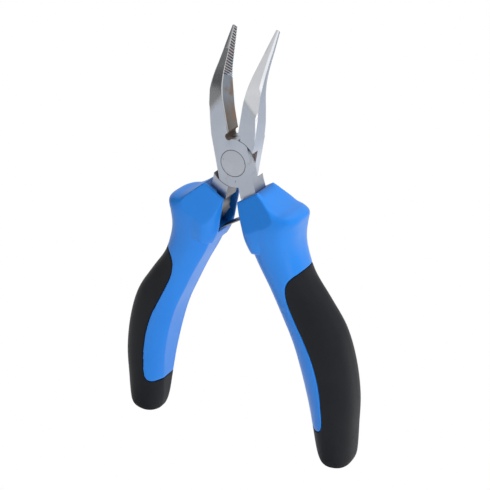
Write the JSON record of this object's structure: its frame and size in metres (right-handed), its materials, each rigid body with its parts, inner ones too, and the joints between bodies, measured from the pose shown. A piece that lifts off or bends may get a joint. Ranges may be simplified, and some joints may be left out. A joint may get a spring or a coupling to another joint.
{
  "type": "needle nose pliers",
  "caption": "Small bent-nose pliers with a lap joint on a flush rivet, a leaf return spring and two-material grips that flare into finger guards.",
  "frame": {"origin": "centre of the rivet on the front face of the lap joint", "axes": "+Z along the line that halves the opening, towards the jaw tips; +Y from the front face to the back face, the way the nose bends; +X towards the jaw of the rear half"},
  "size_m": [0.0766, 0.0195, 0.1241],
  "materials": {
    "tool_steel": "satin, ground and polished",
    "rivet_steel": "satin, ground flush",
    "spring_steel": "oiled dark",
    "hard_grip": "moulded, semi-gloss blue",
    "soft_grip": "soft matt black"
  },
  "bodies": {
    "rear": {"rear_half": "tool_steel", "pivot_rivet": "rivet_steel", "spring_root": "spring_steel", "left_grip_core": "hard_grip", "left_grip_pad": "soft_grip"},
    "front": {"front_half": "tool_steel", "right_grip_core": "hard_grip", "right_grip_pad": "soft_grip"},
    "leaf": {"spring_leaf": "spring_steel"}
  },
  "joints": [
    {"name": "pliers_joint", "type": "hinge", "parent": "rear", "child": "front", "pos_m": [0, 0, 0], "axis": [0, -1, 0], "range_deg": [-20.7, 10]},
    {"name": "leaf_flex", "type": "hinge", "parent": "rear", "child": "leaf", "pos_m": [-0.00476, 0.00295, -0.02048], "axis": [0, 1, 0], "range_deg": [-43, 21]}
  ],
  "couplings": [
    {"joint": "leaf_flex", "follows": "pliers_joint", "ratio": 2.05}
  ]
}
